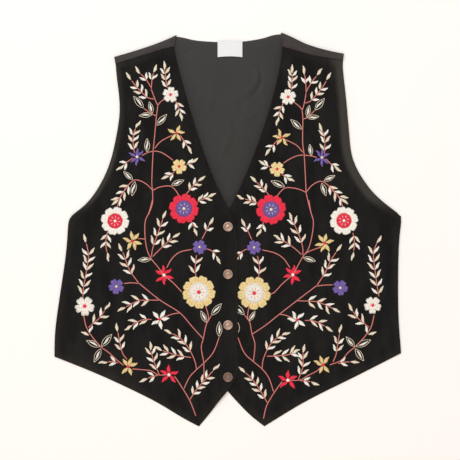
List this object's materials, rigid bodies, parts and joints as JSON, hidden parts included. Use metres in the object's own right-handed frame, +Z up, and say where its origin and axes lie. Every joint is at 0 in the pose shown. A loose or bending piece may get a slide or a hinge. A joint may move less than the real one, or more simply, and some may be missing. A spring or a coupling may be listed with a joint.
{
  "type": "embroidered vest",
  "caption": "Waist-length women's vest laid flat and snapped shut: pointed velveteen fronts with embroidered flowering stems, satin back, lining and bare neck label.",
  "frame": {"origin": "bottom centre of the bounding box: on the surface that the vest lies on, midway across its width and midway from the hem points to the shoulders", "axes": "+Z up out of the fronts of the vest as it lies on its back, +Y towards the neck, +X towards the wearer's left"},
  "size_m": [0.5209, 0.5889, 0.0109],
  "materials": {
    "velveteen": "black cotton velveteen with a short soft nap",
    "back_satin": "brown-black satin with a soft lustre",
    "lining": "charcoal-brown plain-weave lining with a faint lustre",
    "label_tape": "bare white woven tape",
    "snap_metal": "antique copper, pressed and darkened",
    "white_thread": "white cotton embroidery floss in satin stitch",
    "gold_thread": "gold embroidery floss in satin stitch",
    "purple_thread": "purple embroidery floss in satin stitch",
    "red_thread": "red embroidery floss in satin stitch",
    "coral_thread": "dusty coral embroidery floss in stem stitch, for the stems",
    "beige_thread": "beige embroidery floss in satin stitch, for every other leaf"
  },
  "bodies": {
    "root": {"back": "back_satin", "back_lining": "lining", "right_front": "velveteen", "left_front": "velveteen", "neck_label": "label_tape", "snap_cap_1": "snap_metal", "snap_core_1": "snap_metal", "snap_cap_2": "snap_metal", "snap_core_2": "snap_metal", "snap_cap_3": "snap_metal", "snap_core_3": "snap_metal", "snap_cap_4": "snap_metal", "snap_core_4": "snap_metal", "right_flower_1": "white_thread", "right_flower_2": "gold_thread", "right_flower_3": "purple_thread", "right_flower_4": "gold_thread", "right_flower_5": "red_thread", "right_flower_6": "white_thread", "right_flower_7": "gold_thread", "right_flower_8": "purple_thread", "right_flower_9": "red_thread", "right_flower_10": "gold_thread", "right_flower_11": "purple_thread", "right_flower_12": "white_thread", "right_flower_13": "white_thread", "right_flower_14": "gold_thread", "right_flower_15": "red_thread", "left_flower_1": "white_thread", "left_flower_2": "gold_thread", "left_flower_3": "purple_thread", "left_flower_4": "gold_thread", "left_flower_5": "red_thread", "left_flower_6": "white_thread", "left_flower_7": "gold_thread", "left_flower_8": "purple_thread", "left_flower_9": "red_thread", "left_flower_10": "gold_thread", "left_flower_11": "purple_thread", "left_flower_12": "white_thread", "left_flower_13": "white_thread", "left_flower_14": "gold_thread", "left_flower_15": "red_thread"}
  },
  "joints": []
}
